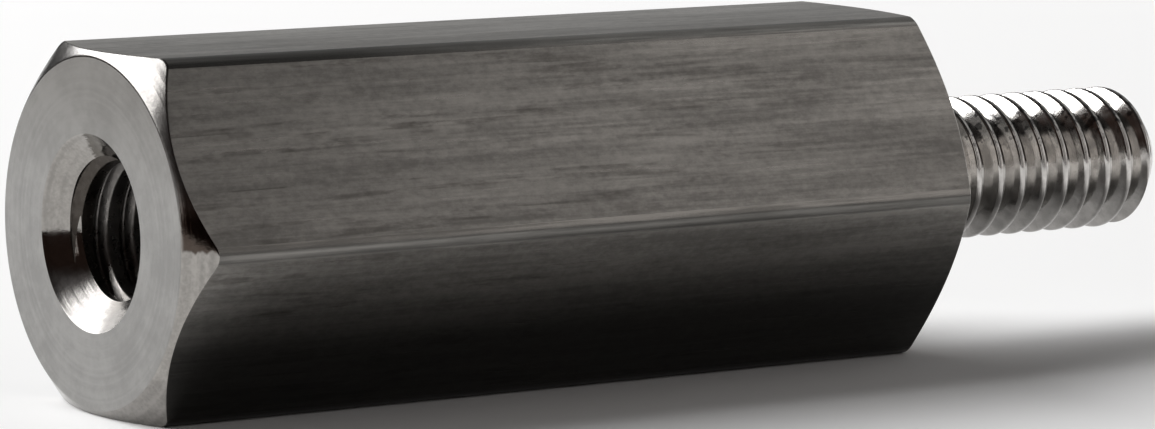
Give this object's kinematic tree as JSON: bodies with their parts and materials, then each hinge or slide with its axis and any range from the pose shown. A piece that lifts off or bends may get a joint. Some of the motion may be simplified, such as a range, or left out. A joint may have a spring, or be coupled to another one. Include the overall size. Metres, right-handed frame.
{
  "type": "hex standoff",
  "caption": "Hexagonal metal spacer with chamfered ends, a countersunk tapped hole in its end face and a threaded stud standing out of its shoulder.",
  "frame": {"origin": "on the axis, in the plane of the shoulder that the stud stands out of", "axes": "+X along the axis out of the stud's tip, -X out of the tapped hole, +Z square to the upper of the two level flats; it lies on the flat that faces -Z"},
  "size_m": [0.0349, 0.0108, 0.0096],
  "materials": {
    "steel": "bare metal: drawn flats with lengthwise lines, turned ends"
  },
  "bodies": {
    "root": {"standoff": "steel"}
  },
  "joints": []
}
